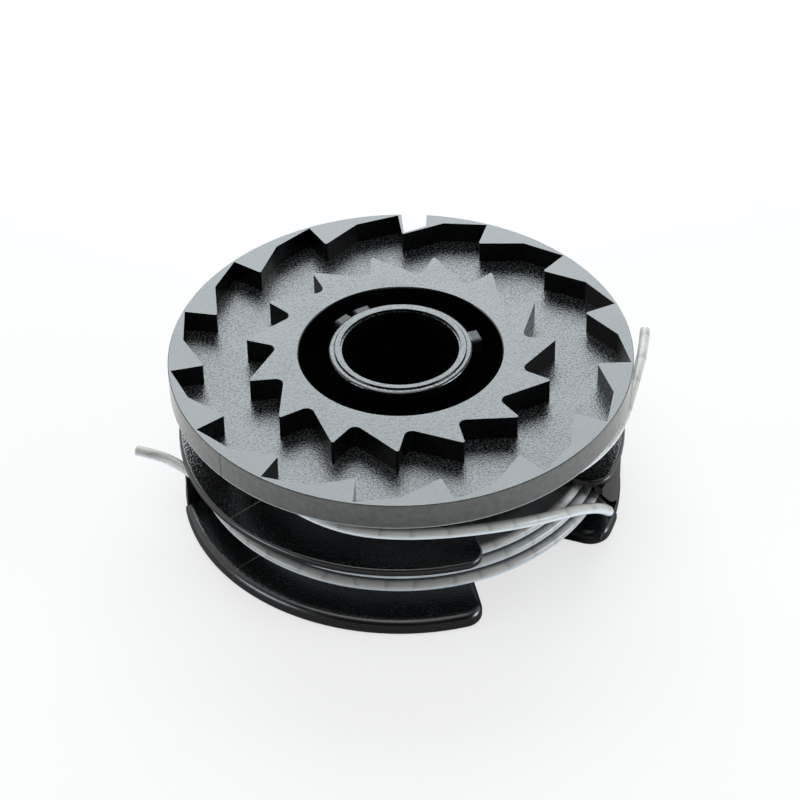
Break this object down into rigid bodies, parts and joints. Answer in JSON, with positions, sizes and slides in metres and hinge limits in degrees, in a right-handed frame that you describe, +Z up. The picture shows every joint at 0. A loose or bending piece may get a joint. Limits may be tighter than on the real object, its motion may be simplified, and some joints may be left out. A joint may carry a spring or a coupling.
{
  "type": "trimmer line spool",
  "caption": "Round trimmer line spool with a ratchet-toothed rim, a central bore in a spring recess, and nylon line wound between its flanges with its ends loose.",
  "frame": {"origin": "on the axis, at the underside of the lower flange", "axes": "+Z up the axis towards the ratchet teeth; the loose turn of line crosses the -Y side, and the free end of the upper coil points along +Y on the +X side"},
  "size_m": [0.0817, 0.072, 0.0281],
  "materials": {
    "black_plastic": "fine spark-eroded grain, satin",
    "nylon_line": "translucent white, satin"
  },
  "bodies": {
    "root": {"spool_body": "black_plastic", "lower_winding": "nylon_line", "upper_winding": "nylon_line", "loose_turn": "nylon_line", "upper_line_end": "nylon_line", "lower_line_end": "nylon_line"}
  },
  "joints": []
}
